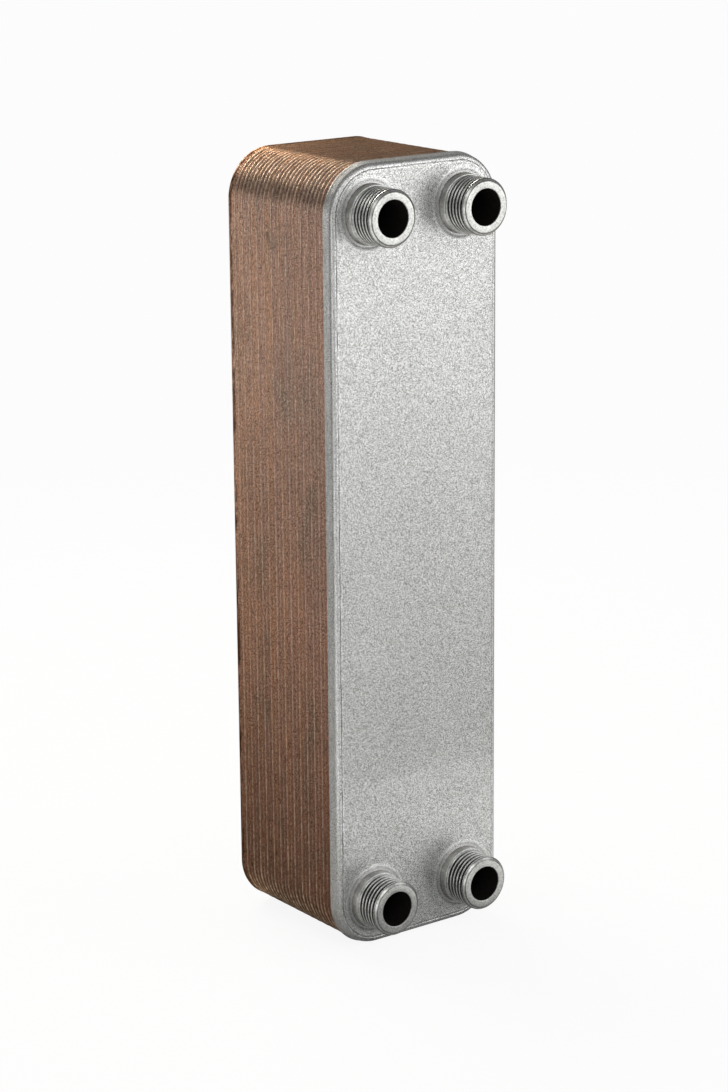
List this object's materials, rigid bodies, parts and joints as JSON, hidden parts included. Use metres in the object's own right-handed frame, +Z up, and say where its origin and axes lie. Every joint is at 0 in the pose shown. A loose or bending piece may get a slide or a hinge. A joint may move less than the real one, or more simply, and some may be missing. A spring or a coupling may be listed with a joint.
{
  "type": "brazed plate heat exchanger",
  "caption": "Tall narrow copper-brazed stack of herringbone plates between steel covers, with threaded connectors at the corners of its front.",
  "frame": {"origin": "middle of the overall box in X and Y, at its lowest point in Z", "axes": "+Z up along the tall side, +X across the front to the right as seen from the ports, +Y from the ports to the back"},
  "size_m": [0.077, 0.0782, 0.297],
  "materials": {
    "front_cover_steel": "satin, furnace-bright stainless sheet with a fine pickled grain",
    "back_cover_steel": "satin stainless sheet, its skirt wetted with copper",
    "copper_filmed_plate": "stainless sheet under a thin brown copper film, drawn in fine lines along each skirt",
    "turned_connector_steel": "turned stainless steel, satin on the thread and brighter on the end face",
    "braze_copper": "solidified braze copper, slightly rippled and glossy",
    "inner_plate_steel": "bare stainless sheet with braze stains"
  },
  "bodies": {
    "root": {"front_cover_plate": "front_cover_steel", "front_sealing_plate": "inner_plate_steel", "front_port_rings": "inner_plate_steel", "channel_plate_01": "copper_filmed_plate", "channel_plate_02": "copper_filmed_plate", "channel_plate_03": "copper_filmed_plate", "channel_plate_04": "copper_filmed_plate", "channel_plate_05": "copper_filmed_plate", "channel_plate_06": "copper_filmed_plate", "channel_plate_07": "copper_filmed_plate", "channel_plate_08": "copper_filmed_plate", "channel_plate_09": "copper_filmed_plate", "channel_plate_10": "copper_filmed_plate", "channel_plate_11": "copper_filmed_plate", "channel_plate_12": "copper_filmed_plate", "channel_plate_13": "copper_filmed_plate", "channel_plate_14": "copper_filmed_plate", "channel_plate_15": "copper_filmed_plate", "channel_plate_16": "copper_filmed_plate", "channel_plate_17": "copper_filmed_plate", "channel_plate_18": "copper_filmed_plate", "channel_plate_19": "copper_filmed_plate", "channel_plate_20": "copper_filmed_plate", "channel_plate_21": "copper_filmed_plate", "channel_plate_22": "copper_filmed_plate", "channel_plate_23": "copper_filmed_plate", "channel_plate_24": "copper_filmed_plate", "back_port_rings": "inner_plate_steel", "back_sealing_plate": "inner_plate_steel", "back_cover_plate": "back_cover_steel", "front_braze_seam": "braze_copper", "skirt_braze_seams": "braze_copper", "port_connector_top_left": "turned_connector_steel", "port_braze_ring_top_left": "braze_copper", "port_connector_top_right": "turned_connector_steel", "port_braze_ring_top_right": "braze_copper", "port_connector_bottom_left": "turned_connector_steel", "port_braze_ring_bottom_left": "braze_copper", "port_connector_bottom_right": "turned_connector_steel", "port_braze_ring_bottom_right": "braze_copper"}
  },
  "joints": []
}
